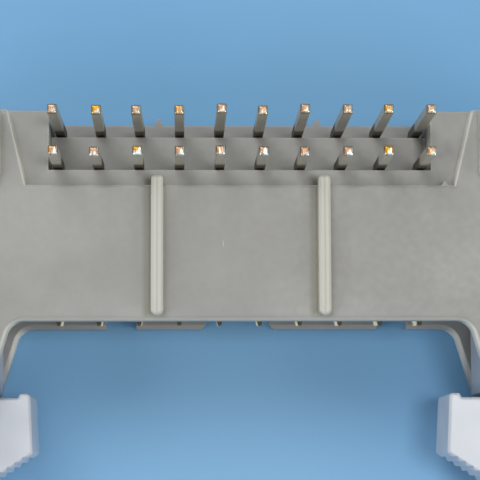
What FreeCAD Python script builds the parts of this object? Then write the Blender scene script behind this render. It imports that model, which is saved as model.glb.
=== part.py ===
"""Right-angle box header, two rows of contacts, with an ejector latch at each end.

Millimetres. The header lies on the wall that faces away from the board: +Z is towards the board,
+Y towards the rear, where the solder tails stand, and -Y towards the socket. The pieces are built
with the mating face at Y = 0 and then moved, so that the origin is under the middle of the part.
"""
import FreeCAD, Part
import math
import os

V = FreeCAD.Vector

# Contacts: bent square wire, pointed at both ends
contacts_per_row = 10
pitch = 2.54
row_gap = 2.54
wire = 0.60
wire_fit = 0.02
mating_point = 0.55
mating_point_side = 0.3
tail_point = 0.24
tail_point_side = 0.36
bend_inner = 0.25
tail_reach = 3.35
contact_recess = 0.15
tail_setback = 0.12

# Housing: section of the shroud
body_height = 9.1
wall = 1.35
cavity_depth = 6.4
base_thickness = 3.1
rear_ledge = 1.21
cavity_end_gap = 3.67
edge_round = 0.35
edge_bevel = 0.3
mouth_bevel = 0.25

# Housing: stepped rear round the tails
recess_depth = 0.83
recess_lead = 1.05
recess_end_front = 1.92
recess_end_rear = 3.07
recess_rim_round = 0.22
opening_end_gap = 0.57
ledge_drop = 0.10
exit_slot_depth = 0.3
gate_end_gap = 0.6
gate_width = 0.5
gate_reach = 0.28
gate_root = 0.1

# Housing: ribs and end feet that stand on the board, and nibs on the rear face
rib_spacing = 10.36
rib_width = 0.74
rib_height = 0.82
rib_front_gap = 0.3
rib_overhang = 0.48
rib_bevel = 0.13
rib_corner = 0.2
rib_end_share = 0.95
end_foot_inset = 0.15
end_foot_width = 1.9
end_foot_lead = 0.7
end_foot_round = 0.4
nib_base = 0.5
nib_top = 0.2
nib_reach = 0.45

# Housing: keyways in the wall that faces away from the board
key_centre_width = 4.2
key_side_width = 1.96
key_stop = 1.6
key_mouth_round = 0.45
key_floor_round = 0.3
key_side_pitches = (-3, 4)

# Housing: towers that hold the latches
shoulder_inset = 0.90
shoulder_round = 1.1
cheek_slope = 0.30
cheek_reach = 5.3
cheek_round = 1.2
tower_front_inset = 3.0
tower_front_round = 2.0
tower_side_y = 0.5
tower_side_round = 3.0
tower_rear_round = 0.6
tower_end_wall = 1.1
stop_angle = 36.0
pivot_out = 3.8
pivot_depth = 2.0
pivot_fit = 0.05
pocket_round = 0.2
slot_inner_round = 1.0
slot_outer_round = 0.5

# Latch
latch_gap = 0.3
latch_bevel = 0.15
hub_radius = 2.2
trunnion_radius = 1.2
trunnion_inset = 0.15
arm_inset = -0.18
catch_reach = 4.71
catch_overhang = 2.19
relief_width = 0.35
relief_depth = 0.6
nub_width = 0.62
nub_height = 0.27
nub_lean = 0.12
nub_outer_round = 0.15
nub_inner_round = 0.25
catch_round = 0.1
head_round = 0.3
head_height = 3.44
head_lean = 0.2
thumb_angle = 33.0
thumb_length = 8.8
thumb_thickness = 1.45
thumb_round = 0.5
arm_outer_inset = 1.75
arm_outer_drop = 1.49
arm_outer_round = 3.0
foot_thickness = 1.6
foot_sink = 0.2
foot_end_gap = 1.37
foot_round = 0.4
tooth_start = 0.38
tooth_pitch = 0.56
tooth_depth = 0.17
tooth_share = 0.9
tooth_lap = 0.02
tooth_count = 14

# How far a cutter runs past the surface that it opens, and the least length that counts
overcut = 1.0
tiny = 1e-5

# Places worked out from the sizes above
field_half = (contacts_per_row - 1) * pitch / 2
cavity_half = field_half + cavity_end_gap
row_mid_z = body_height / 2
near_row_z = row_mid_z + row_gap / 2
far_row_z = row_mid_z - row_gap / 2
first_step_y = cavity_depth + base_thickness
second_step_y = first_step_y + row_gap
body_depth = second_step_y + rear_ledge
recess_front_y = first_step_y - recess_lead
near_tail_y = first_step_y + tail_setback + wire / 2
far_tail_y = near_tail_y + row_gap
near_ledge_z = near_row_z - wire / 2 - ledge_drop
far_ledge_z = far_row_z - wire / 2 - ledge_drop
seat_z = body_height + rib_height
tail_top_z = seat_z + tail_reach
pivot_x = cavity_half + pivot_out
pivot_y = cavity_depth + pivot_depth
hub_space = hub_radius + latch_gap
tower_end_x = pivot_x + hub_space + tower_end_wall
latch_thickness = body_height - 2 * (wall + latch_gap)
arm_face_x = cavity_half - arm_inset
arm_outer_x = pivot_x + hub_radius - arm_outer_inset
catch_y = -catch_reach
arm_outer_y = catch_y - arm_outer_drop
foot_front_y = cavity_depth + foot_sink
foot_rear_y = foot_front_y + foot_thickness
foot_end_x = field_half + foot_end_gap
far = 60.0


def box(x0, x1, y0, y1, z0, z1):
    return Part.makeBox(x1 - x0, y1 - y0, z1 - z0, V(x0, y0, z0))


def mirrored(shape):
    """The same shape on the other side of the middle plane X = 0."""
    return shape.mirror(V(0, 0, 0), V(1, 0, 0))


def both_sides(shape):
    return shape.fuse(mirrored(shape))


def prism(corners, z0, z1):
    """Closed outline of (x, y, corner radius) points, extruded from z0 to z1."""
    ends = []
    count = len(corners)
    for i, (x, y, radius) in enumerate(corners):
        here = V(x, y, z0)
        if radius <= 0:
            ends.append((here, None, here))
            continue
        before = corners[i - 1]
        after = corners[(i + 1) % count]
        back = (V(before[0], before[1], z0) - here).normalize()
        ahead = (V(after[0], after[1], z0) - here).normalize()
        half = back.getAngle(ahead) / 2
        to_tangent = radius / math.tan(half)
        to_centre = (back + ahead).normalize()
        middle = here + to_centre * (radius / math.sin(half) - radius)
        ends.append((here + back * to_tangent, middle, here + ahead * to_tangent))
    edges = []
    for i, (start, middle, end) in enumerate(ends):
        if middle is not None:
            edges.append(Part.Arc(start, middle, end).toShape())
        following = ends[(i + 1) % count][0]
        if end.distanceToPoint(following) > tiny:
            edges.append(Part.LineSegment(end, following).toShape())
    return Part.Face(Part.Wire(edges)).extrude(V(0, 0, z1 - z0))


def edges_at(shape, z, keep=lambda point: True):
    """Edges that lie in the level plane z and whose middle passes the test."""
    found = []
    for edge in shape.Edges:
        bounds = edge.BoundBox
        level = abs(bounds.ZMin - z) < tiny and abs(bounds.ZMax - z) < tiny
        if level and keep(bounds.Center):
            found.append(edge)
    return found


def body_outline():
    """Plan of the shroud with its two towers, the arch between them at the front."""
    right = [
        (cavity_half - shoulder_inset, 0, shoulder_round),
        (cavity_half - shoulder_inset + cheek_slope * cheek_reach, -cheek_reach, cheek_round),
        (tower_end_x - tower_front_inset, -cheek_reach, tower_front_round),
        (tower_end_x, tower_side_y, tower_side_round),
        (tower_end_x, body_depth, tower_rear_round),
    ]
    return right + [(-x, y, radius) for x, y, radius in reversed(right)]


def arm_slant():
    """Angle from +X of the arm's outer line, which runs tangent to the hub."""
    rise = pivot_y - arm_outer_y
    run = pivot_x - arm_outer_x
    return math.atan2(rise, run) - math.asin(hub_radius / math.hypot(rise, run))


def stop_y():
    """Front of the web behind the arm, which stops the open latch at the stop angle."""
    normal = arm_slant() - math.pi / 2 + math.radians(stop_angle)
    return pivot_y + (hub_radius - hub_space * math.cos(normal)) / math.sin(normal)


def inner_space():
    """The mating cavity, with the pocket and slot of each latch, open to the front."""
    foot_end = foot_end_x - latch_gap
    hub_side = pivot_x - hub_space
    web_side = pivot_x + hub_space
    slot_floor = pivot_y + hub_space
    right = [
        (-overcut, -far, 0),
        (-overcut, cavity_depth, 0),
        (foot_end, cavity_depth, 0),
        (foot_end, foot_rear_y + latch_gap, pocket_round),
        (hub_side, foot_rear_y + latch_gap, pocket_round),
        (hub_side, slot_floor, slot_inner_round),
        (web_side, slot_floor, slot_outer_round),
        (web_side, stop_y(), 0),
        (far, stop_y(), 0),
        (far, -far, 0),
    ]
    return both_sides(prism(right, wall, body_height - wall))


def shroud():
    """Outer block with rounded edges and its recess, hollowed for the socket and the latches."""
    block = prism(body_outline(), 0, body_height)
    block = block.makeChamfer(edge_bevel, edges_at(block, 0))
    block = block.makeFillet(edge_round, edges_at(block, body_height))
    block = block.cut(recess())
    rim = edges_at(block, body_height,
                   lambda point: abs(point.x) < cavity_half and point.y > recess_front_y - recess_lead)
    block = block.makeFillet(recess_rim_round, rim)
    hollow = block.cut(inner_space())
    mouth = []
    for z in (wall, body_height - wall):
        mouth += edges_at(hollow, z, lambda point: point.y < mouth_bevel)
    return hollow.makeChamfer(mouth_bevel, mouth)


def recess():
    """Shallow recess round the tails, wider towards the rear."""
    front = field_half + recess_end_front
    rear = field_half + recess_end_rear
    spread = (rear - front) / (body_depth - recess_front_y)
    behind = body_depth + overcut
    wide = front + spread * (behind - recess_front_y)
    return prism(
        [(-front, recess_front_y, 0), (front, recess_front_y, 0), (wide, behind, 0), (-wide, behind, 0)],
        body_height - recess_depth, body_height + overcut)


def rear_steps():
    """The two steps that the tails bend up behind, one for each row."""
    opening = field_half + opening_end_gap
    behind = body_depth + overcut
    above = body_height + overcut
    near = box(-opening, opening, first_step_y, behind, near_ledge_z, above)
    far_step = box(-opening, opening, second_step_y, behind, far_ledge_z, above)
    return near.fuse(far_step)


def keyway(x, width, mouth_round):
    """Slot in the wall away from the board, open at the mating face."""
    side = width / 2
    lip = mouth_round + overcut
    end = cavity_depth - key_stop
    outline = [
        (x - side - lip, -overcut, 0),
        (x - side - lip, 0, 0),
        (x - side, 0, mouth_round),
        (x - side, end, key_floor_round),
        (x + side, end, key_floor_round),
        (x + side, 0, mouth_round),
        (x + side + lip, 0, 0),
        (x + side + lip, -overcut, 0),
    ]
    return prism(outline, -overcut, wall + overcut)


def keyways():
    cuts = [keyway(0, key_centre_width, key_mouth_round)]
    for steps in key_side_pitches:
        cuts.append(keyway(steps * pitch, key_side_width, 0))
    return cuts


def contact_xs():
    return [i * pitch - field_half for i in range(contacts_per_row)]


def contact_holes():
    """Square holes that hold the contacts, each with a taller slot where the wire bends."""
    half = wire / 2 + wire_fit
    inside = cavity_depth - overcut
    cuts = []
    for x in contact_xs():
        for z, face_y in ((near_row_z, first_step_y), (far_row_z, second_step_y)):
            outside = face_y + overcut
            slot_y = face_y - exit_slot_depth
            slot_top = z + half + exit_slot_depth
            cuts.append(box(x - half, x + half, inside, outside, z - half, z + half))
            cuts.append(box(x - half, x + half, slot_y, outside, z - half, slot_top))
    return cuts


def rib(x):
    """Stand-off rib on the board side, round at both ends."""
    side = rib_width / 2
    rear = recess_front_y + rib_overhang
    outline = [
        (x - side, rib_front_gap, side * rib_end_share),
        (x + side, rib_front_gap, side * rib_end_share),
        (x + side, rear, rib_corner),
        (x - side, rear, rib_corner),
    ]
    solid = prism(outline, body_height - recess_depth, seat_z)
    return solid.makeChamfer(rib_bevel, edges_at(solid, seat_z))


def end_foot():
    """Low stand-off beside the recess, as high as the ribs, flush with the rear face."""
    inner = cavity_half - end_foot_inset
    outer = inner + end_foot_width
    front = first_step_y - end_foot_lead
    outline = [
        (inner, front, end_foot_round),
        (outer, front, end_foot_round),
        (outer, body_depth, rib_corner),
        (inner, body_depth, rib_corner),
    ]
    solid = prism(outline, body_height - edge_round, seat_z)
    return solid.makeChamfer(rib_bevel, edges_at(solid, seat_z))


def nib(x):
    """Small tapered rib on the rear face, under the tails."""
    outline = [
        (x - nib_base / 2, body_depth - nib_base, 0),
        (x + nib_base / 2, body_depth - nib_base, 0),
        (x + nib_base / 2, body_depth, 0),
        (x + nib_top / 2, body_depth + nib_reach, 0),
        (x - nib_top / 2, body_depth + nib_reach, 0),
        (x - nib_base / 2, body_depth, 0),
    ]
    return prism(outline, edge_round, far_ledge_z)


def gate_mark():
    """Vestige of the moulding gate at the front of the recess."""
    x = field_half + recess_end_front - gate_end_gap
    outline = [
        (x - gate_width / 2, recess_front_y - gate_root, 0),
        (x + gate_width / 2, recess_front_y - gate_root, 0),
        (x, recess_front_y + gate_reach, 0),
    ]
    return prism(outline, body_height - recess_depth, body_height)


def housing():
    radius = trunnion_radius + pivot_fit
    bore = Part.makeCylinder(radius, body_height + 2 * overcut, V(pivot_x, pivot_y, -overcut))
    cuts = [rear_steps(), bore, mirrored(bore)] + keyways() + contact_holes()
    solid = shroud().cut(cuts)
    ribs = [rib(rib_spacing / 2), rib(-rib_spacing / 2)]
    feet = [end_foot(), mirrored(end_foot())]
    nibs = [nib(rib_spacing / 2), nib(-rib_spacing / 2)]
    return solid.fuse(ribs + feet + nibs + [gate_mark()]).removeSplitter()


def pointed_bar(length, point_length, point_side):
    """Square wire along +Z, with four facets drawn in to its end."""
    straight = length - point_length
    full = wire / 2
    small = point_side / 2
    bar = Part.makeBox(wire, wire, straight, V(-full, -full, 0))
    point = Part.makeWedge(-full, 0, -full, -small, -small, full, point_length, full, small, small)
    point.rotate(V(0, 0, 0), V(1, 0, 0), 90)
    point.translate(V(0, 0, straight))
    return bar.fuse(point)


def contact(x, z, tail_y):
    """One contact: straight to the socket, a bend behind its step, and a tail to the board."""
    turn = bend_inner + wire / 2
    mating = pointed_bar(tail_y - turn - contact_recess, mating_point, mating_point_side)
    mating.rotate(V(0, 0, 0), V(1, 0, 0), 90)
    mating.translate(V(x, tail_y - turn, z))
    tail = pointed_bar(tail_top_z - z - turn, tail_point, tail_point_side)
    tail.translate(V(x, tail_y, z + turn))
    h = wire / 2
    start = tail_y - turn
    section = Part.Face(Part.makePolygon([
        V(x - h, start, z - h), V(x + h, start, z - h), V(x + h, start, z + h),
        V(x - h, start, z + h), V(x - h, start, z - h)]))
    bend = section.revolve(V(x, start, z + turn), V(1, 0, 0), 90)
    return mating.fuse([bend, tail]).removeSplitter()


def latch_outline():
    """Plan of the right-hand latch about its pivot, closed: arm, head, thumb tab, hub and foot."""
    slope = math.radians(thumb_angle)
    tip_x = arm_face_x - catch_overhang
    heel_x = tip_x - head_lean
    heel_y = catch_y - head_height
    end_x = heel_x + thumb_length * math.cos(slope)
    end_y = heel_y - thumb_length * math.sin(slope)
    back_x = end_x + thumb_thickness * math.sin(slope)
    back_y = end_y + thumb_thickness * math.cos(slope)
    hub_top = pivot_y + hub_radius
    hub_side = pivot_x - hub_radius
    outline = [
        (arm_face_x, foot_front_y, foot_round),
        (arm_face_x, catch_y, catch_round),
        (tip_x + nub_width + nub_lean, catch_y, catch_round),
        (tip_x + nub_width, catch_y + nub_height, nub_outer_round),
        (tip_x, catch_y + nub_height, nub_inner_round),
        (heel_x, heel_y, head_round),
        (end_x, end_y, thumb_round),
        (back_x, back_y, thumb_round),
        (arm_outer_x, arm_outer_y, arm_outer_round),
        (arm_outer_x + (hub_top - arm_outer_y) / math.tan(arm_slant()), hub_top, hub_radius),
        (hub_side, hub_top, hub_radius),
        (hub_side, foot_rear_y, catch_round),
        (foot_end_x, foot_rear_y, foot_round),
        (foot_end_x, foot_front_y, foot_round),
    ]
    return [(x - pivot_x, y - pivot_y, radius) for x, y, radius in outline]


def thumb_teeth():
    """Sharp grooves across the thumb face, for grip."""
    slope = math.radians(thumb_angle)
    along = V(math.cos(slope), -math.sin(slope), 0)
    inward = V(math.sin(slope), math.cos(slope), 0)
    heel = V(arm_face_x - catch_overhang - head_lean, catch_y - head_height, 0)
    width = tooth_pitch * tooth_share
    cuts = []
    for i in range(tooth_count):
        start = heel + along * (tooth_start + i * tooth_pitch) - inward * tooth_lap
        middle = start + along * width / 2 + inward * (tooth_depth + tooth_lap)
        points = [start, start + along * width, middle]
        cuts.append(prism([(p.x, p.y, 0) for p in points], -overcut, body_height + overcut))
    return cuts


def latch():
    """Right-hand ejector latch, in its closed place."""
    low = (body_height - latch_thickness) / 2
    high = low + latch_thickness
    blade = prism(latch_outline(), low, high)
    blade = blade.makeChamfer(latch_bevel, edges_at(blade, low) + edges_at(blade, high))
    blade.translate(V(pivot_x, pivot_y, 0))
    relief = box(arm_face_x - overcut, arm_face_x + relief_depth, catch_y, catch_y + relief_width,
                 low - overcut, high + overcut)
    solid = blade.cut([relief] + thumb_teeth())
    trunnion = Part.makeCylinder(trunnion_radius, body_height - 2 * trunnion_inset,
                                 V(pivot_x, pivot_y, trunnion_inset))
    return solid.fuse(trunnion).removeSplitter()


def build():
    nodes = {"housing": housing()}
    for row, z, tail_y in (("near", near_row_z, near_tail_y), ("far", far_row_z, far_tail_y)):
        for i, x in enumerate(contact_xs()):
            nodes["contact_%s_%02d" % (row, i + 1)] = contact(x, z, tail_y)
    right = latch()
    nodes["latch_right"] = right
    nodes["latch_left"] = mirrored(right)
    return nodes


def main():
    nodes = build()
    bounds = Part.makeCompound(list(nodes.values())).optimalBoundingBox(False, False)
    move = V(0, -(bounds.YMin + bounds.YMax) / 2, -bounds.ZMin)
    os.makedirs("parts", exist_ok=True)
    for name, shape in nodes.items():
        shape.translate(move)
        shape.exportStep("parts/%s.step" % name)
    print("mating face at y = %.3f" % move.y)
    print("pivots at x = +-%.3f, y = %.3f" % (pivot_x, pivot_y + move.y))
    print("seat at z = %.3f, tails to z = %.3f" % (seat_z + move.z, tail_top_z + move.z))
    for name, shape in nodes.items():
        if not shape.isValid() or len(shape.Solids) != 1:
            print("bad solid:", name, shape.isValid(), len(shape.Solids))


main()
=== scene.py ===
"""Looks of a right-angle box header: moulded housing, plated contacts and two ejector latches.

Laid out as an add-on: sizes and colours are properties, each group of pieces has an operator, and
a panel lists them. Lengths are in metres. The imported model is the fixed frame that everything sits
in.
"""
import bmesh
import bpy
import math
from mathutils import Euler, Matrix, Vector


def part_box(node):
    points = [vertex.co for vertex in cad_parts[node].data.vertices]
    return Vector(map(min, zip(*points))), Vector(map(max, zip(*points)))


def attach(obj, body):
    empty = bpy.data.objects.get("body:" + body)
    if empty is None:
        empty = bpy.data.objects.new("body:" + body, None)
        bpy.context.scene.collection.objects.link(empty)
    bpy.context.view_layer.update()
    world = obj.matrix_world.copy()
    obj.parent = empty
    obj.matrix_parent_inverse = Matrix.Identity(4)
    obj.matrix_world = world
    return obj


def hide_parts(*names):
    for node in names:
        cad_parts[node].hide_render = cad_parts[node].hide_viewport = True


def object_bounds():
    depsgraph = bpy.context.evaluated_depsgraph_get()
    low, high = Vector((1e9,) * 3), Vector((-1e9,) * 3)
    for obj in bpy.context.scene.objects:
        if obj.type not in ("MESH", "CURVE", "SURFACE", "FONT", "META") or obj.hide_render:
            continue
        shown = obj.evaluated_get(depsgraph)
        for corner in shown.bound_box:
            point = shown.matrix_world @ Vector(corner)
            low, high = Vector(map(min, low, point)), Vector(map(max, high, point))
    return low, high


bl_info = {
    "name": "Box Header Looks",
    "version": (1, 0, 0),
    "blender": (4, 5, 0),
    "location": "View3D > Sidebar > Box Header",
    "description": "Finishes a right-angle box header and sets it on a pale table",
    "category": "Object",
}

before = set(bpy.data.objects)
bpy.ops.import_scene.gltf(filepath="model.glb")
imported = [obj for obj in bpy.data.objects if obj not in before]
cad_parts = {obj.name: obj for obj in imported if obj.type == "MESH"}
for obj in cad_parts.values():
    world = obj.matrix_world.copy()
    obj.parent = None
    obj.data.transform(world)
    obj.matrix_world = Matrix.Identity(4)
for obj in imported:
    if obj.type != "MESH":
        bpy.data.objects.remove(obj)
cad_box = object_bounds()

MM = 0.001
PHOTO_PIXELS = 480
SENSOR_WIDTH_MM = 36.0
CLIP_START, CLIP_END = 0.005, 10.0
TABLE_SIDES = 96
HEADER_BODY = "header"

# Places of a Mix node's sockets for colours, and of a Random Value node's outputs
MIX_FACTOR, MIX_A, MIX_B, MIX_RESULT = 0, 6, 7, 2
RANDOM_VECTOR, RANDOM_NUMBER = 0, 1

# The middle, most and nearly all of a noise's values, which lie between 0 and 1
NOISE_CORE = (0.35, 0.65)
NOISE_MOST = (0.3, 0.7)
NOISE_ALL = (0.2, 0.8)

# How much of a surface's normal lies across X on a steep side, and along Z where an edge turns down
STEEP = (0.2, 0.7)
TURNED_DOWN = (0.97, 0.6)

# Sheared ends: how much narrower than long the strokes are, how strongly the warm bronze, the side
# in painted shade, keeps to the rear left away from the painted glint, the values between which it
# shows, and the tones between which it turns gilt
STROKE_STRETCH = (5.0, 1.0, 1.0)
SHADE_SLANT = -0.16
SHADE_RANGE = (0.38, 0.53)
GILT_TONES = (0.6, 0.9)

# Lamps: name, place and width in millimetres, the property that holds the level, and colour
LAMPS = (
    ("key", (185, -75, 98), 100, "key_level", "#FFFEFA"),
    ("side", (-145, -55, 88), 90, "side_level", "#F8FBFF"),
    ("back", (-80, 165, 200), 150, "back_level", "#FFFFFF"),
    ("front", (-10, -170, 140), 140, "front_level", "#FFFFFF"),
    ("top", (64, 0, 300), 60, "top_level", "#FFFFFF"),
)


# Sizes taken from the frame


def contact_nodes(row):
    """The names of one row's contacts, from left to right."""
    return sorted(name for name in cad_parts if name.startswith("contact_%s_" % row))


def row_place(row):
    """Names of one row's contacts, their pitch, and the wire, bend and ends of the first."""
    names = contact_nodes(row)
    low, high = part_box(names[0])
    next_low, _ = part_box(names[1])
    wire = high.x - low.x
    return {
        "names": names,
        "wire": wire,
        "pitch": next_low.x - low.x,
        "bend": Vector(((low.x + high.x) / 2, high.y - wire / 2, low.z + wire / 2)),
        "mating_y": low.y,
        "tail_top": high.z,
    }


RIB_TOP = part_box("housing")[1].z


# Colours and shader helpers


def linear(code):
    """Scene-linear RGBA of an sRGB hex colour."""
    channels = []
    for i in (0, 2, 4):
        value = int(code.lstrip("#")[i:i + 2], 16) / 255
        channels.append(value / 12.92 if value <= 0.04045 else ((value + 0.055) / 1.055) ** 2.4)
    return (*channels, 1.0)


def per_size(size_mm):
    """Texture scale, per metre, at which one cell of a pattern is that many millimetres across."""
    return 1.0 / (size_mm * MM)


def add(tree, kind, inputs=None, **settings):
    """Adds a node, sets its properties, and fills its sockets with values or with other sockets."""
    made = tree.nodes.new(kind)
    for name, value in settings.items():
        setattr(made, name, value)
    for name, value in (inputs or {}).items():
        socket = made.inputs[name]
        if isinstance(value, bpy.types.NodeSocket):
            tree.links.new(value, socket)
        else:
            socket.default_value = value
    return made


def new_material(name):
    """An empty material, its node tree and the Principled shader that it ends in."""
    material = bpy.data.materials.new(name)
    material.use_nodes = True
    tree = material.node_tree
    tree.nodes.clear()
    output = add(tree, "ShaderNodeOutputMaterial")
    shader = add(tree, "ShaderNodeBsdfPrincipled")
    tree.links.new(shader.outputs["BSDF"], output.inputs["Surface"])
    return material, tree, shader


def fill(tree, shader, **links):
    """Links sockets to the shader's inputs, with the underscores in their names as spaces."""
    for name, socket in links.items():
        tree.links.new(socket, shader.inputs[name.replace("_", " ")])


def noise(tree, place, size_mm, detail):
    """Noise of a real size, as a socket from 0 to 1."""
    made = add(tree, "ShaderNodeTexNoise",
               {"Vector": place, "Scale": per_size(size_mm), "Detail": detail})
    return made.outputs["Fac"]


def mark(tree, name):
    """A number that the mesh carries under that name."""
    return add(tree, "ShaderNodeAttribute", attribute_name=name).outputs["Fac"]


def ramp(tree, value, low, high, out_low=0.0, out_high=1.0):
    """Smooth change from one output to another while the value goes from low to high."""
    limits = {"From Min": low, "From Max": high, "To Min": out_low, "To Max": out_high}
    made = add(tree, "ShaderNodeMapRange", {"Value": value, **limits},
               interpolation_type="SMOOTHSTEP")
    return made.outputs["Result"]


def blend(tree, factor, a, b):
    """Mix of two colours, each a socket or an RGBA value."""
    made = add(tree, "ShaderNodeMix", {MIX_FACTOR: factor, MIX_A: a, MIX_B: b}, data_type="RGBA")
    return made.outputs[MIX_RESULT]


def maths(tree, operation, a, b=0.0):
    """Result of a sum on one or two numbers or sockets."""
    return add(tree, "ShaderNodeMath", {0: a, 1: b}, operation=operation).outputs[0]


def product(tree, first, *others):
    """Product of sockets and numbers, of which the first is a socket."""
    for other in others:
        first = maths(tree, "MULTIPLY", first, other)
    return first


def apart(tree, a, b):
    """How far apart two numbers or sockets are."""
    return maths(tree, "ABSOLUTE", maths(tree, "SUBTRACT", a, b))


def coat(tree, under, code, mask, strength):
    """A colour laid over another where the mask is, at that strength."""
    return blend(tree, product(tree, mask, strength), under, linear(code))


def between(tree, value, start, whole_from, whole_to, end):
    """One while the value is in the inner range, fading to nothing at the ends of the outer one."""
    return product(tree, ramp(tree, value, start, whole_from), ramp(tree, value, end, whole_to))


def dot(tree, a, b):
    """Dot product of two vectors or sockets."""
    made = add(tree, "ShaderNodeVectorMath", {0: a, 1: b}, operation="DOT_PRODUCT")
    return made.outputs["Value"]


def rounded_normal(tree, radius_mm):
    """Normal of the surface as if its sharp edges were rounded to that radius."""
    return add(tree, "ShaderNodeBevel", {"Radius": radius_mm * MM}, samples=6).outputs["Normal"]


def edge_mask(tree, radius_mm, strength):
    """How near a point lies to a sharp edge, from how far its rounded normal leaves the true one:
    their dot product is 1.0 on a flat face, and 0.8 or less on an edge."""
    true = add(tree, "ShaderNodeNewGeometry").outputs["Normal"]
    agree = dot(tree, rounded_normal(tree, radius_mm), true)
    return ramp(tree, agree, 1.0, 0.8, out_high=strength)


def line_mask(tree, value, middle, half_width):
    """One on a line where the value meets the middle, fading to nothing at half the width."""
    return ramp(tree, apart(tree, value, middle), half_width, 0.0)


# Materials


def clouded(tree, place, finish, mottle):
    """The housing's own grey: two close tones in slow clouds, with fine darker specks."""
    clouds = noise(tree, place, size_mm=7.0, detail=3.0)
    colour = blend(tree, ramp(tree, clouds, *NOISE_CORE), linear(finish.housing_dark),
                   linear(finish.housing_light))
    specks = ramp(tree, mottle, *NOISE_MOST, out_high=0.12)
    return blend(tree, specks, colour, linear(finish.housing_speck))


def rib_shade_mask(tree, x, y, z, finish):
    """Mask of the painted shadow on the wall beside each rib, wider on the left, as if the rib
    shaded it from light on the right.
    """
    left, right = (apart(tree, x, middle - finish.root_shift)
                   for middle in (-finish.rib_middle, finish.rib_middle))
    near = ramp(tree, maths(tree, "MINIMUM", left, right), finish.root_width, finish.root_width / 2)
    top = RIB_TOP - finish.crest_depth
    bottom = top - finish.root_depth
    height = between(tree, z, bottom - 0.2 * MM, bottom, top - 0.1 * MM, top)
    run = between(tree, y, finish.root_front - 0.5 * MM, finish.root_front,
                  finish.root_rear, finish.root_rear + 0.5 * MM)
    return product(tree, near, height, run)


def rim_light_mask(tree, side, z, finish):
    """Mask of the painted light on the rim walls round the tails and on the far wall, where the arch
    ends in a slope.
    """
    high = ramp(tree, z, finish.rim_low, finish.rim_low + finish.rim_depth)
    low = ramp(tree, z, finish.far_wall_top + 0.3 * MM, finish.far_wall_top)
    ends = between(tree, side, finish.rim_start, finish.rim_start + 0.3 * MM,
                   finish.rim_reach - 0.5 * MM, finish.rim_reach)
    return product(tree, maths(tree, "MAXIMUM", high, low), ends)


def grained(tree, place, size_mm, detail, strength, depth_mm):
    """Normal of a moulded skin: the grain of the tool on edges that are slightly rounded."""
    grain = noise(tree, place, size_mm, detail)
    bump = add(tree, "ShaderNodeBump",
               {"Height": grain, "Strength": strength, "Distance": depth_mm * MM,
                "Normal": rounded_normal(tree, radius_mm=0.10)})
    return bump.outputs["Normal"]


def moulded_housing(finish):
    """Glass-filled polyester, injection moulded in a spark-eroded tool: matt, faintly clouded grey,
    with a witness line down the middle of each rib and a light scratch on the near wall.
    Painted highlights make the rib crests and the down-turned front edge paler, wear and painted
    highlight make the rounded edges paler, and painted light makes the rim walls round the tails
    pale.
    A painted shadow along the foot of each rib, darker on its left, sets the rib off from the wall."""
    material, tree, shader = new_material("glass-filled polyester, moulded, warm grey")
    place = add(tree, "ShaderNodeTexCoord").outputs["Object"]
    x, y, z = add(tree, "ShaderNodeSeparateXYZ", {"Vector": place}).outputs
    side = maths(tree, "ABSOLUTE", x)
    mottle = noise(tree, place, size_mm=0.45, detail=4.0)
    colour = clouded(tree, place, finish, mottle)
    # Painted highlight: the rib crests are made paler, as where light falls on their tops.
    crest_low = RIB_TOP - finish.crest_depth
    crest = ramp(tree, z, crest_low, crest_low + finish.crest_fade)
    colour = coat(tree, colour, finish.housing_wear_and_highlight, crest, strength=0.8)
    # Painted shadow: the wall along the foot of each rib is darkened, more on its left.
    painted_rib_shadow = rib_shade_mask(tree, x, y, z, finish)
    colour = coat(tree, colour, finish.housing_rib_shadow, painted_rib_shadow, strength=0.85)
    witness = product(tree, line_mask(tree, side, finish.rib_middle, finish.line_width), crest)
    colour = coat(tree, colour, finish.housing_line, witness, strength=0.45)
    # Rounded edges made paler: partly wear, partly a painted highlight.
    edges = edge_mask(tree, radius_mm=0.20, strength=0.35)
    colour = blend(tree, edges, colour, linear(finish.housing_wear_and_highlight))
    facing_x, _, facing_z = add(tree, "ShaderNodeSeparateXYZ",
                                {"Vector": rounded_normal(tree, radius_mm=0.12)}).outputs
    # Painted light: steep rim walls round the tails and the far wall's sloped arch ends are made
    # pale, as if lit from the side.
    steep = ramp(tree, maths(tree, "ABSOLUTE", facing_x), *STEEP)
    painted_lit = product(tree, steep, rim_light_mask(tree, side, z, finish))
    colour = coat(tree, colour, finish.housing_rim_light, painted_lit, strength=0.75)
    # Painted highlight: rounded edges that turn down near the top are made paler, as if lit from the
    # front.
    shoulder_highlight = product(tree, ramp(tree, facing_z, *TURNED_DOWN),
                       ramp(tree, z, finish.shoulder_low, finish.shoulder_low + 0.1 * MM))
    colour = coat(tree, colour, finish.housing_wear_and_highlight, shoulder_highlight, strength=0.6)
    scratch = product(tree, line_mask(tree, x, finish.scratch[0], finish.scratch_size[0]),
                      line_mask(tree, y, finish.scratch[1], finish.scratch_size[1]))
    colour = coat(tree, colour, finish.housing_wear_and_highlight, scratch, strength=0.8)
    fill(tree, shader, Base_Color=colour,
         Normal=grained(tree, place, size_mm=0.11, detail=3.0, strength=0.25, depth_mm=0.012),
         Roughness=ramp(tree, mottle, *NOISE_ALL, out_low=0.44, out_high=0.58))
    shader.inputs["IOR"].default_value = 1.55
    return material


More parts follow.
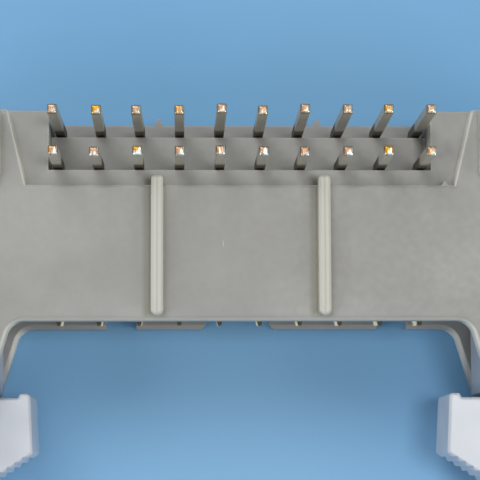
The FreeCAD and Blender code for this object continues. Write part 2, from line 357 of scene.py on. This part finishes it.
def moulded_latch(finish):
    """Unfilled nylon, injection moulded in a polished tool: near white, smoother than the housing,
    with soft flow clouds and a little light that passes under the surface."""
    material, tree, shader = new_material("nylon, moulded, cool white")
    place = add(tree, "ShaderNodeTexCoord").outputs["Object"]
    clouds = noise(tree, place, size_mm=4.0, detail=1.0)
    colour = blend(tree, ramp(tree, clouds, *NOISE_MOST), linear(finish.latch_dark),
                   linear(finish.latch_light))
    # Rounded edges made paler: partly wear, partly a painted highlight.
    edges = edge_mask(tree, radius_mm=0.12, strength=0.6)
    colour = blend(tree, edges, colour, linear(finish.latch_edge_wear_and_highlight))
    fill(tree, shader, Base_Color=colour,
         Normal=grained(tree, place, size_mm=0.16, detail=2.0, strength=0.10, depth_mm=0.010),
         Roughness=ramp(tree, clouds, *NOISE_ALL, out_low=0.32, out_high=0.36))
    shader.inputs["IOR"].default_value = 1.53
    shader.inputs["Subsurface Weight"].default_value = 0.12
    shader.inputs["Subsurface Radius"].default_value = [finish.latch_glow] * 3
    shader.inputs["Subsurface Scale"].default_value = 1.0
    return material


def plated_wire(finish, row):
    """Drawn bronze wire, gold flashed where the socket touches it and tin plated on the tail, which
    turns darker and less metallic towards its foot. Each tail's sheared end carries a painted white
    glint, with warm bronze kept to its rear left as the side in painted shade. The near row's mating
    points are painted dark brown as shade, the far row's pale as a highlight, and the far row's
    painted glint is duller."""
    # Mating points painted by row: dark brown on the near row as painted shade, pale on the far row
    # as a painted highlight.
    if row == "near":
        shear, tip = finish.shear, finish.gold_near_shade
    else:
        shear, tip = finish.glint_painted_dull, finish.gold_far_highlight
    material, tree, shader = new_material("bronze wire, gold flashed and tin plated, %s row" % row)
    place = add(tree, "ShaderNodeTexCoord").outputs["Object"]
    along, point, tone, rise, right, upper = (
        mark(tree, name) for name in ("along", "point", "tone", "rise", "right", "upper"))
    streaks = noise(tree, place, size_mm=0.18, detail=3.0)
    narrowed = add(tree, "ShaderNodeVectorMath", {0: place, 1: STROKE_STRETCH},
                   operation="MULTIPLY").outputs[0]
    strokes = noise(tree, narrowed, size_mm=0.6, detail=1.0)
    tin = blend(tree, tone, linear(finish.tin_dark), linear(finish.tin_light))
    stains = ramp(tree, streaks, *NOISE_MOST, out_high=0.3)
    tin = blend(tree, stains, tin, linear(finish.tin_stain))
    # The tin turns darker towards the foot of each tail, between these heights above the bend.
    foot = ramp(tree, rise, finish.foot_high, finish.foot_low)
    tin = blend(tree, foot, tin, linear(finish.wire_foot))
    gold = blend(tree, ramp(tree, streaks, *NOISE_CORE), linear(finish.gold),
                 linear(finish.gold_pale))
    gold = blend(tree, point, gold, linear(tip))
    mating = ramp(tree, along, finish.gold_end, finish.gold_whole)
    colour = blend(tree, mating, tin, gold)
    # Painted light on each sheared tail end: a pale painted glint, with warm bronze kept to the rear
    # left as the side in painted shade.
    slant = product(tree, maths(tree, "ADD", right, upper), SHADE_SLANT)
    shaded_bronze = ramp(tree, maths(tree, "ADD", slant, strokes), *SHADE_RANGE)
    warm = blend(tree, ramp(tree, tone, *GILT_TONES), linear(finish.bronze),
                 linear(finish.bronze_gold))
    sheared = blend(tree, shaded_bronze, linear(shear), warm)
    end = product(tree, point, maths(tree, "SUBTRACT", 1.0, mating))
    colour = blend(tree, end, colour, sheared)
    bump = add(tree, "ShaderNodeBump",
               {"Height": strokes, "Strength": ramp(tree, end, 0.0, 1.0, out_low=0.2),
                "Distance": 0.02 * MM})
    dull = ramp(tree, streaks, *NOISE_ALL, out_low=0.46, out_high=0.60)
    burnish = product(tree, point, 0.22)
    fill(tree, shader, Base_Color=colour, Normal=bump.outputs["Normal"],
         Metallic=ramp(tree, foot, 0.0, 1.0, out_low=1.0, out_high=0.3),
         Roughness=maths(tree, "SUBTRACT", dull, burnish))
    return material


def table_top(stage):
    """Painted board: plain, pale and matt. Past the reach of the lamps it glows faintly, so that it
    stays as light towards the horizon as it is under the part."""
    material, tree, shader = new_material("painted board, pale")
    place = add(tree, "ShaderNodeTexCoord").outputs["Object"]
    drift = noise(tree, place, size_mm=60.0, detail=2.0)
    paler = ramp(tree, drift, *NOISE_MOST, out_high=0.07)
    colour = blend(tree, paler, linear(stage.floor), linear("#FFFFFF"))
    away = add(tree, "ShaderNodeVectorMath", {0: place}, operation="LENGTH").outputs["Value"]
    glow = ramp(tree, away, stage.glow_start, stage.glow_end, out_high=stage.glow_level)
    fill(tree, shader, Base_Color=colour, Emission_Color=colour, Emission_Strength=glow)
    shader.inputs["Roughness"].default_value = 0.85
    return material


# Contacts


def wire_stations(wire, to_mating, to_top, sizes):
    """Centreline of a contact about the crossing of its two straight runs, as stations: y, z, the
    angle of the run in the YZ plane, the share of the wire's width, and whether it is on a point.
    """
    turn = sizes.bend + wire / 2
    stations = [(-to_mating, 0.0, 0.0, sizes.mating_point_side / wire, True),
                (-to_mating + sizes.mating_point, 0.0, 0.0, 1.0, True)]
    for i in range(sizes.bend_steps + 1):
        angle = math.pi / 2 * i / sizes.bend_steps
        y, z = turn * math.sin(angle) - turn, turn - turn * math.cos(angle)
        stations.append((y, z, angle, 1.0, False))
    flat = sizes.tail_point_side / wire
    for i in range(sizes.crown_steps + 1):
        angle = math.pi / 2 * i / sizes.crown_steps
        z = to_top - sizes.tail_point * (1 - math.sin(angle))
        stations.append((0.0, z, math.pi / 2, flat + (1 - flat) * math.cos(angle), True))
    return stations


def section(wire, edge):
    """Square wire section with small flats on its drawn corners, as (across, up) points."""
    half = wire / 2
    inner = half - edge
    points = []
    for across, up in ((1, 1), (-1, 1), (-1, -1), (1, -1)):
        pair = [(across * half, up * inner), (across * inner, up * half)]
        points += pair if across * up > 0 else reversed(pair)
    return points


def contact_mesh(name, place, sizes):
    """One contact about the middle of its bend, with the marks that its material reads."""
    wire = place["wire"]
    bend = place["bend"]
    stations = wire_stations(wire, bend.y - place["mating_y"], place["tail_top"] - bend.z, sizes)
    outline = section(wire, sizes.wire_edge)
    mesh = bpy.data.meshes.new(name)
    work = bmesh.new()
    along, rise, right, upper = (
        work.verts.layers.float.new(label) for label in ("along", "rise", "right", "upper"))
    point = work.faces.layers.float.new("point")
    loops = []
    travelled = 0.0
    before = None
    for y, z, angle, share, _ in stations:
        if before is not None:
            travelled += math.hypot(y - before[0], z - before[1])
        before = (y, z)
        loop = []
        for across, up in outline:
            vert = work.verts.new((across * share,
                                   y - up * share * math.sin(angle),
                                   z + up * share * math.cos(angle)))
            vert[along] = travelled
            vert[rise] = z
            vert[right] = 2 * across * share / wire
            vert[upper] = 2 * up * share / wire
            loop.append(vert)
        loops.append(loop)
    on_point = [station[-1] for station in stations]
    for i, (first, second) in enumerate(zip(loops, loops[1:])):
        for k in range(len(first)):
            n = (k + 1) % len(first)
            face = work.faces.new((first[k], first[n], second[n], second[k]))
            face[point] = 1.0 if on_point[i] and on_point[i + 1] else 0.0
    for loop in (loops[0], loops[-1]):
        work.faces.new(loop)[point] = 1.0
    bmesh.ops.recalc_face_normals(work, faces=work.faces)
    work.to_mesh(mesh)
    work.free()
    return mesh


def contact_row_tree(name):
    """Geometry nodes that repeat the contact along its row, each tail with a tone and a lean."""
    tree = bpy.data.node_groups.new(name, "GeometryNodeTree")
    tree.is_modifier = True
    tree.interface.new_socket("Geometry", in_out="INPUT", socket_type="NodeSocketGeometry")
    tree.interface.new_socket("Geometry", in_out="OUTPUT", socket_type="NodeSocketGeometry")
    for label, kind in (("Count", "NodeSocketInt"), ("Start", "NodeSocketVector"),
                        ("Pitch", "NodeSocketFloat"), ("Lean", "NodeSocketFloat"),
                        ("Seed", "NodeSocketInt"), ("Material", "NodeSocketMaterial")):
        tree.interface.new_socket(label, in_out="INPUT", socket_type=kind)
    given = add(tree, "NodeGroupInput").outputs
    step = add(tree, "ShaderNodeCombineXYZ", {"X": given["Pitch"]})
    line = add(tree, "GeometryNodeMeshLine",
               {"Count": given["Count"], "Start Location": given["Start"],
                "Offset": step.outputs[0]}, mode="OFFSET")
    row = add(tree, "GeometryNodeInstanceOnPoints",
              {"Points": line.outputs["Mesh"], "Instance": given["Geometry"]})
    tone = add(tree, "FunctionNodeRandomValue", {"Seed": given["Seed"]}, data_type="FLOAT")
    toned = add(tree, "GeometryNodeStoreNamedAttribute",
                {"Geometry": row.outputs["Instances"], "Name": "tone",
                 "Value": tone.outputs[RANDOM_NUMBER]},
                data_type="FLOAT", domain="INSTANCE")
    least = product(tree, given["Lean"], -1.0)
    low = add(tree, "ShaderNodeCombineXYZ", {"X": least, "Y": least})
    high = add(tree, "ShaderNodeCombineXYZ", {"X": given["Lean"], "Y": given["Lean"]})
    lean = add(tree, "FunctionNodeRandomValue",
               {"Min": low.outputs[0], "Max": high.outputs[0], "Seed": given["Seed"]},
               data_type="FLOAT_VECTOR")
    leaned = add(tree, "GeometryNodeStoreNamedAttribute",
                 {"Geometry": toned.outputs["Geometry"], "Name": "lean",
                  "Value": lean.outputs[RANDOM_VECTOR]},
                 data_type="FLOAT_VECTOR", domain="INSTANCE")
    real = add(tree, "GeometryNodeRealizeInstances", {"Geometry": leaned.outputs["Geometry"]})
    slope = add(tree, "GeometryNodeInputNamedAttribute", {"Name": "lean"}, data_type="FLOAT_VECTOR")
    rise = add(tree, "GeometryNodeInputNamedAttribute", {"Name": "rise"}, data_type="FLOAT")
    above = maths(tree, "MAXIMUM", rise.outputs[0])
    shift = add(tree, "ShaderNodeVectorMath", {0: slope.outputs[0], "Scale": above},
                operation="SCALE")
    bent = add(tree, "GeometryNodeSetPosition",
               {"Geometry": real.outputs["Geometry"], "Offset": shift.outputs[0]})
    dressed = add(tree, "GeometryNodeSetMaterial",
                  {"Geometry": bent.outputs["Geometry"], "Material": given["Material"]})
    add(tree, "NodeGroupOutput", {"Geometry": dressed.outputs["Geometry"]})
    return tree


def set_inputs(modifier, tree, values):
    """Sets a geometry nodes modifier's inputs, which go by the identifier of each socket."""
    for item in tree.interface.items_tree:
        if item.in_out == "INPUT" and item.name in values:
            modifier[item.identifier] = values[item.name]


def settle(piece):
    """Turns a piece with modifiers into a plain mesh."""
    bpy.context.view_layer.update()
    evaluated = piece.evaluated_get(bpy.context.evaluated_depsgraph_get())
    mesh = bpy.data.meshes.new_from_object(evaluated)
    piece.modifiers.clear()
    old = piece.data
    piece.data = mesh
    bpy.data.meshes.remove(old)
    mesh.name = piece.name


def make_row(row, sizes, material):
    """One row of contacts as one piece that stands for its nodes."""
    place = row_place(row)
    place["mating_y"] -= sizes.near_proud if row == "near" else sizes.far_proud
    name = "contacts_%s_row" % row
    piece = bpy.data.objects.new(name, contact_mesh(name, place, sizes))
    bpy.context.scene.collection.objects.link(piece)
    tree = contact_row_tree("contact row, " + row)
    modifier = piece.modifiers.new("row", "NODES")
    modifier.node_group = tree
    set_inputs(modifier, tree, {
        "Count": len(place["names"]), "Start": place["bend"], "Pitch": place["pitch"],
        "Lean": sizes.lean, "Seed": sizes.seed + (1 if row == "far" else 0),
        "Material": material})
    settle(piece)
    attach(piece, HEADER_BODY)
    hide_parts(*place["names"])


# Stage


def lamp(name, where_mm, size_mm, level, code):
    """Square lamp that gives a pale surface, facing it at the part, that level of light."""
    data = bpy.data.lights.new(name, "AREA")
    data.shape = "SQUARE"
    data.size = size_mm * MM
    made = bpy.data.objects.new(name, data)
    made.location = Vector(where_mm) * MM
    towards = (cad_box[0] + cad_box[1]) / 2 - made.location
    made.rotation_euler = towards.to_track_quat("-Z", "Y").to_euler()
    data.energy = level * math.pi ** 2 * towards.length_squared
    data.color = linear(code)[:3]
    bpy.context.scene.collection.objects.link(made)


def make_camera(stage):
    """Camera at the photograph's angle, a little in front of straight above."""
    data = bpy.data.cameras.new("camera")
    data.sensor_width = SENSOR_WIDTH_MM
    data.lens = stage.focal_pixels * SENSOR_WIDTH_MM / PHOTO_PIXELS
    data.clip_start = CLIP_START
    data.clip_end = CLIP_END
    camera = bpy.data.objects.new("camera", data)
    turn = Euler((stage.tilt, stage.turn, 0.0), "YXZ")
    back = turn.to_matrix() @ Vector((0.0, 0.0, 1.0))
    camera.rotation_mode = "YXZ"
    camera.rotation_euler = turn
    camera.location = Vector(stage.aim) + back * stage.distance
    bpy.context.scene.collection.objects.link(camera)
    bpy.context.scene.camera = camera


def make_world(stage):
    """Even light from all round, which the camera and every reflection see as a paler tone."""
    world = bpy.data.worlds.new("studio")
    world.use_nodes = True
    tree = world.node_tree
    tree.nodes.clear()
    path = add(tree, "ShaderNodeLightPath").outputs
    mirrored = maths(tree, "MAXIMUM", path["Is Glossy Ray"], path["Is Transmission Ray"])
    direct = maths(tree, "MAXIMUM", path["Is Camera Ray"], mirrored)
    light = add(tree, "ShaderNodeBackground",
                {"Color": linear(stage.sky), "Strength": stage.sky_level})
    seen = add(tree, "ShaderNodeBackground", {"Color": linear(stage.backdrop), "Strength": 1.0})
    mixed = add(tree, "ShaderNodeMixShader",
                {0: direct, 1: light.outputs[0], 2: seen.outputs[0]})
    add(tree, "ShaderNodeOutputWorld", {"Surface": mixed.outputs[0]})
    bpy.context.scene.world = world


def make_floor(stage):
    """Wide round table under the part."""
    mesh = bpy.data.meshes.new("table")
    work = bmesh.new()
    bmesh.ops.create_circle(work, cap_ends=True, segments=TABLE_SIDES, radius=stage.floor_radius)
    work.to_mesh(mesh)
    work.free()
    floor = bpy.data.objects.new("table", mesh)
    bpy.context.scene.collection.objects.link(floor)
    mesh.materials.append(table_top(stage))


# Properties


def length(name, description, default, low=0.0, high=1.0):
    """Length property, shown in the scene's unit."""
    return bpy.props.FloatProperty(
        name=name, description=description, default=default, min=low, max=high, precision=6,
        unit="LENGTH", subtype="DISTANCE")


def light_level(name, description, default):
    """Level of light, where 1 shows a white surface as white."""
    return bpy.props.FloatProperty(
        name=name, description=description, default=default, min=0.0, max=2.0)


def colour_code(name, description, default):
    """Colour property, written as an sRGB hex value."""
    return bpy.props.StringProperty(name=name, description=description, default=default, maxlen=7)


class HeaderContactSizes(bpy.types.PropertyGroup):
    """Sizes of the bent contacts."""
    bend: length("Inner bend", "Inside radius of the bend", 0.25 * MM)
    bend_steps: bpy.props.IntProperty(
        name="Bend steps", description="Faces round the bend", default=8, min=2, max=32)
    mating_point: length("Mating point", "Length of the point that enters the socket", 0.80 * MM)
    mating_point_side: length("Mating point side", "Width of the flat at its end", 0.20 * MM)
    near_proud: length("Near proud", "How far the near row's mating ends stand out", 0.25 * MM)
    far_proud: length("Far proud", "How far the far row's mating ends stand out", 0.08 * MM)
    tail_point: length("Tail point", "Length of the point that enters the board", 0.24 * MM)
    tail_point_side: length("Tail point side", "Width of the flat at its end", 0.22 * MM)
    crown_steps: bpy.props.IntProperty(
        name="Crown steps", description="Faces from a tail's side over its rounded end", default=6,
        min=2, max=16)
    wire_edge: length("Wire edge", "Width that the drawn corners of the wire lose", 0.05 * MM)
    lean: bpy.props.FloatProperty(
        name="Lean", description="Most that a tail leans, as a slope", default=0.007,
        min=0.0, max=0.05)
    seed: bpy.props.IntProperty(
        name="Seed", description="Picks which tails lean and shine", default=4, min=0)


class HeaderFinish(bpy.types.PropertyGroup):
    """Colours of the plastics and platings, and where their marks, wear, painted light and painted
    shade lie.
    """
    housing_light: colour_code("Housing light", "Paler cloud in the housing", "#A3A19C")
    housing_dark: colour_code("Housing dark", "Darker cloud in the housing", "#989691")
    housing_speck: colour_code("Housing speck", "Fine darker specks in the housing", "#8E8B84")
    # Colour of the painted highlights on rib crests, rounded edges and the front edge, and of edge
    # wear and the scratch.
    housing_wear_and_highlight: colour_code("Housing crest", "Rib crests and rubbed edges", "#D2D0C4")
    # Colour and extent of the painted shadow along the foot of each rib, darker on its left.
    housing_rib_shadow: colour_code("Housing root", "Grime along the foot of each rib", "#807D6F")
    root_width: length("Root width", "How far the grime reaches from its middle", 0.85 * MM)
    root_shift: length("Root shift", "How far its middle lies to the left of the rib's", 0.22 * MM)
    root_depth: length("Root depth", "How far below a rib's crest the grime reaches", 1.3 * MM)
    root_front: length("Root front", "Where the grime starts, behind the middle of the part", 0.0)
    root_rear: length("Root rear", "Where the grime ends, behind the middle of the part", 8.4 * MM)
    housing_line: colour_code("Housing line", "Witness line along each rib", "#A39C90")
    # Colour and extent of the painted light on the rim walls and the far wall's arch ends.
    housing_rim_light: colour_code("Housing rim", "Burnished rim walls round the tails", "#EEEADF")
    rim_low: length("Rim low", "Height at which the rim walls start to be burnished", 5.8 * MM)
    rim_depth: length("Rim depth", "Over what height the burnish fades in", 1.2 * MM)
    far_wall_top: length("Far wall top", "Height up to which the far wall's slopes are burnished",
                         1.5 * MM)
    rim_start: length("Rim start", "How far from the middle plane the burnish starts", 11.4 * MM)
    rim_reach: length("Rim reach", "How far from the middle plane the burnish reaches", 15.2 * MM)
    # Height above which the painted highlight on down-turned rounded edges starts.
    shoulder_low: length("Shoulder low", "Height above which rounded edges are rubbed", 8.70 * MM)
    # Extent of the painted highlight on the rib crests.
    crest_depth: length("Crest depth", "How far down from its top a rib is rubbed pale", 0.55 * MM)
    crest_fade: length("Crest fade", "Over what height that rub fades in", 0.3 * MM)
    line_width: length("Line width", "Half the width of the witness line", 0.09 * MM)
    rib_middle: length("Rib middle", "From the middle plane to the middle of a rib", 5.18 * MM)
    scratch: bpy.props.FloatVectorProperty(
        name="Scratch", description="Middle of the light scratch on the near wall",
        default=(-1.08 * MM, 4.3 * MM), size=2, unit="LENGTH")
    scratch_size: bpy.props.FloatVectorProperty(
        name="Scratch size", description="Half its width and half its length",
        default=(0.035 * MM, 0.30 * MM), size=2, unit="LENGTH")
    latch_light: colour_code("Latch light", "Paler cloud in the latches", "#D3D6DC")
    latch_dark: colour_code("Latch dark", "Darker cloud in the latches", "#C1C5CD")
    # Colour of the latches' rounded edges: wear and a painted highlight.
    latch_edge_wear_and_highlight: colour_code("Latch edge", "Rubbed edges of the latches", "#F4F5F7")
    latch_glow: length("Latch glow", "How far light passes under the latches' surface", 0.7 * MM)
    tin_light: colour_code("Tin light", "Brighter tin plating", "#D2CCBF")
    tin_dark: colour_code("Tin dark", "Duller tin plating", "#BFB8AA")
    tin_stain: colour_code("Tin stain", "Handled patches of the tin plating", "#A19683")
    # Colour of each tail's darker, less metallic foot, and the heights above the bend over which it
    # fades in.
    wire_foot: colour_code("Wire foot", "Unplated foot of a tail", "#51463A")
    foot_high: length("Foot top", "Height above the bend where the plating is whole", 4.3 * MM)
    foot_low: length("Foot bottom", "Height above the bend where the plating starts", 3.3 * MM)
    gold_end: length("Gold end", "From the mating end to where the gold flash ends", 7.5 * MM)
    gold_whole: length("Gold whole", "From the mating end to where it starts to fade", 6.5 * MM)
    gold: colour_code("Gold", "Gold flash on the mating ends", "#D9A94C")
    gold_pale: colour_code("Pale gold", "Thinner gold flash", "#F1DFAE")
    # Mating point colours: pale as a painted highlight on the far row, dark as painted shade on the
    # near row.
    gold_far_highlight: colour_code("Gold tip", "Burnished mating points of the far row", "#FFF0C8")
    gold_near_shade: colour_code("Worn gold", "Mating points of the near row, worn through", "#4E3C1E")
    # Colours of the sheared ends: the bronze kept to the side painted as in shade, and the pale
    # painted glints.
    bronze: colour_code("Bronze", "Bare bronze on the sheared ends", "#B58D6E")
    bronze_gold: colour_code("Gilt bronze", "Bare bronze with gold dragged over it", "#C78F32")
    shear: colour_code("Shear", "Burnished part of the near row's sheared ends", "#E4DED2")
    glint_painted_dull: colour_code("Dull shear", "The same on the far row", "#CBBBA6")


class HeaderStage(bpy.types.PropertyGroup):
    """Table, light and camera."""
    floor: colour_code("Floor", "Colour of the table", "#7CB5E1")
    backdrop: colour_code("Backdrop", "Colour seen beyond the table", "#D5E4EE")
    sky: colour_code("Sky", "Colour of the even light", "#F4F8FC")
    sky_level: light_level("Sky level", "Strength of the even light", 0.18)
    key_level: light_level("Key level", "Light from the right", 0.28)
    side_level: light_level("Side level", "Light from the left", 0.28)
    back_level: light_level("Back level", "Light from the rear", 0.41)
    front_level: light_level("Front level", "Light from the front", 0.09)
    top_level: light_level("Top level", "Light from above the right end", 0.22)
    glow_start: length("Glow start", "From the part to where the table starts to glow", 0.07)
    glow_end: length("Glow end", "From the part to where the glow is whole", 0.38)
    glow_level: light_level("Glow level", "Strength of the table's glow", 0.72)
    floor_radius: length("Floor radius", "Radius of the table", 1.5, high=10.0)
    focal_pixels: bpy.props.FloatProperty(
        name="Focal length", description="Focal length in pixels of the 480 pixel frame",
        default=1931.0, min=100.0)
    tilt: bpy.props.FloatProperty(
        name="Tilt", description="Lean of the view away from straight down, from the front",
        default=math.radians(6.7), unit="ROTATION", subtype="ANGLE")
    turn: bpy.props.FloatProperty(
        name="Turn", description="Lean of the view to the right, from the left",
        default=math.radians(-1.634), unit="ROTATION", subtype="ANGLE")
    distance: length("Distance", "From the camera to the aim", 119.73 * MM)
    aim: bpy.props.FloatVectorProperty(
        name="Aim", description="Point at the middle of the picture",
        default=(-0.05 * MM, 4.51 * MM, 9.1 * MM), unit="LENGTH", subtype="XYZ")


# Operators


class BOXHEADER_OT_housing(bpy.types.Operator):
    """Give the housing its moulded finish"""
    bl_idname = "box_header.housing"
    bl_label = "Finish the housing"

    def execute(self, context):
        material = moulded_housing(context.scene.header_finish)
        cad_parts["housing"].data.materials.clear()
        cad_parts["housing"].data.materials.append(material)
        return {"FINISHED"}


class BOXHEADER_OT_latches(bpy.types.Operator):
    """Give both ejector latches their smooth pale finish"""
    bl_idname = "box_header.latches"
    bl_label = "Finish the latches"

    def execute(self, context):
        material = moulded_latch(context.scene.header_finish)
        for name in ("latch_right", "latch_left"):
            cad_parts[name].data.materials.clear()
            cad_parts[name].data.materials.append(material)
        return {"FINISHED"}


class BOXHEADER_OT_contacts(bpy.types.Operator):
    """Build both rows of contacts with their points, bends and platings"""
    bl_idname = "box_header.contacts"
    bl_label = "Build the contacts"

    def execute(self, context):
        for row in ("near", "far"):
            material = plated_wire(context.scene.header_finish, row)
            make_row(row, context.scene.header_contacts, material)
        return {"FINISHED"}


class BOXHEADER_OT_stage(bpy.types.Operator):
    """Set the table, the lamps and the camera"""
    bl_idname = "box_header.stage"
    bl_label = "Set the stage"

    def execute(self, context):
        stage = context.scene.header_stage
        make_floor(stage)
        make_world(stage)
        for name, where_mm, size_mm, setting, code in LAMPS:
            lamp(name, where_mm, size_mm, getattr(stage, setting), code)
        make_camera(stage)
        context.scene.view_settings.view_transform = "Standard"
        return {"FINISHED"}


STEPS = (BOXHEADER_OT_housing, BOXHEADER_OT_latches, BOXHEADER_OT_contacts, BOXHEADER_OT_stage)

GROUPS = {
    "header_contacts": HeaderContactSizes,
    "header_finish": HeaderFinish,
    "header_stage": HeaderStage,
}


class BOXHEADER_PT_panel(bpy.types.Panel):
    """Lists the steps that dress the header, with their sizes and colours"""
    bl_idname = "BOXHEADER_PT_panel"
    bl_label = "Box Header"
    bl_space_type = "VIEW_3D"
    bl_region_type = "UI"
    bl_category = "Box Header"

    def draw(self, context):
        for step in STEPS:
            self.layout.operator(step.bl_idname)
        for group_name, kind in GROUPS.items():
            box = self.layout.box()
            for name in kind.__annotations__:
                box.prop(getattr(context.scene, group_name), name)


def register():
    for group in GROUPS.values():
        bpy.utils.register_class(group)
    for name, group in GROUPS.items():
        setattr(bpy.types.Scene, name, bpy.props.PointerProperty(type=group))
    for made in (*STEPS, BOXHEADER_PT_panel):
        bpy.utils.register_class(made)


def unregister():
    for made in (BOXHEADER_PT_panel, *reversed(STEPS)):
        bpy.utils.unregister_class(made)
    for name in GROUPS:
        delattr(bpy.types.Scene, name)
    for group in reversed(GROUPS.values()):
        bpy.utils.unregister_class(group)


def main():
    register()
    bpy.ops.box_header.housing()
    bpy.ops.box_header.latches()
    bpy.ops.box_header.contacts()
    bpy.ops.box_header.stage()
    bpy.context.view_layer.update()


if __name__ == "__main__":
    main()
